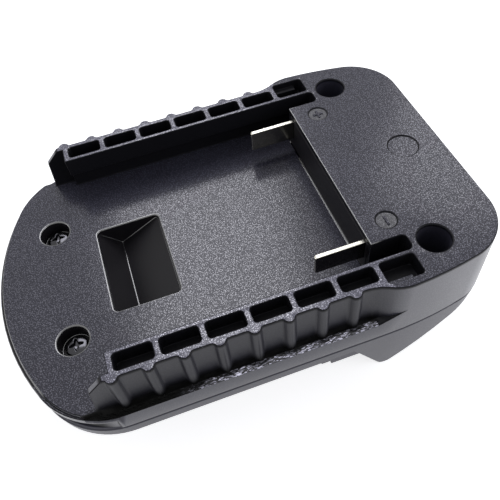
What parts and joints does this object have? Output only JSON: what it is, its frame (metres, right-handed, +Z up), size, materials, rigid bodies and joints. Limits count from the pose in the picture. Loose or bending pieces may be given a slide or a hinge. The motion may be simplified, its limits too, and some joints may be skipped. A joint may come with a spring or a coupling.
{
  "type": "tool battery adapter",
  "caption": "Slide-in battery adapter: a round-nosed two-shell housing with a railed battery dock on top, blade contacts, and a tool slide block with a sprung release latch underneath.",
  "frame": {"origin": "centre of the footprint, on the plane that the slide block and the chin rest on", "axes": "+X along the slide towards the head, +Y across, +Z up out of the dock"},
  "size_m": [0.114, 0.075, 0.0379],
  "materials": {
    "upper_plastic": "spark-eroded fine grain, charcoal",
    "lower_plastic": "satin charcoal",
    "carrier_plastic": "smooth black",
    "blade_metal": "bright plated",
    "screw_steel": "zinc plated",
    "screw_black": "blackened",
    "clip_metal": "spring brass",
    "spring_steel": "drawn wire",
    "inner_plastic": "plain moulded",
    "latch_plastic": "satin black",
    "lead_red": "silicone insulation",
    "lead_black": "silicone insulation"
  },
  "bodies": {
    "casing": {"upper_shell": "upper_plastic", "lower_shell": "lower_plastic", "blade_carrier": "carrier_plastic", "blade_positive": "blade_metal", "blade_negative": "blade_metal", "carrier_screws": "screw_steel", "clip_holder": "inner_plastic", "clip_positive": "clip_metal", "clip_negative": "clip_metal", "holder_screws": "screw_steel", "lead_positive": "lead_red", "lead_negative": "lead_black", "latch_spring_near": "spring_steel", "latch_spring_far": "spring_steel", "latch_bridge": "inner_plastic", "bridge_screws": "screw_steel", "deck_screws": "screw_black", "head_screws": "screw_black"},
    "latch": {"release_latch": "latch_plastic"}
  },
  "joints": [
    {"name": "latch_press", "type": "slide", "parent": "casing", "child": "latch", "axis": [0, 0, 1], "range_m": [0, 0.004], "stiffness_N_per_m": 900, "springref_m": -0.003, "deforming": ["latch_spring_near", "latch_spring_far"]}
  ]
}
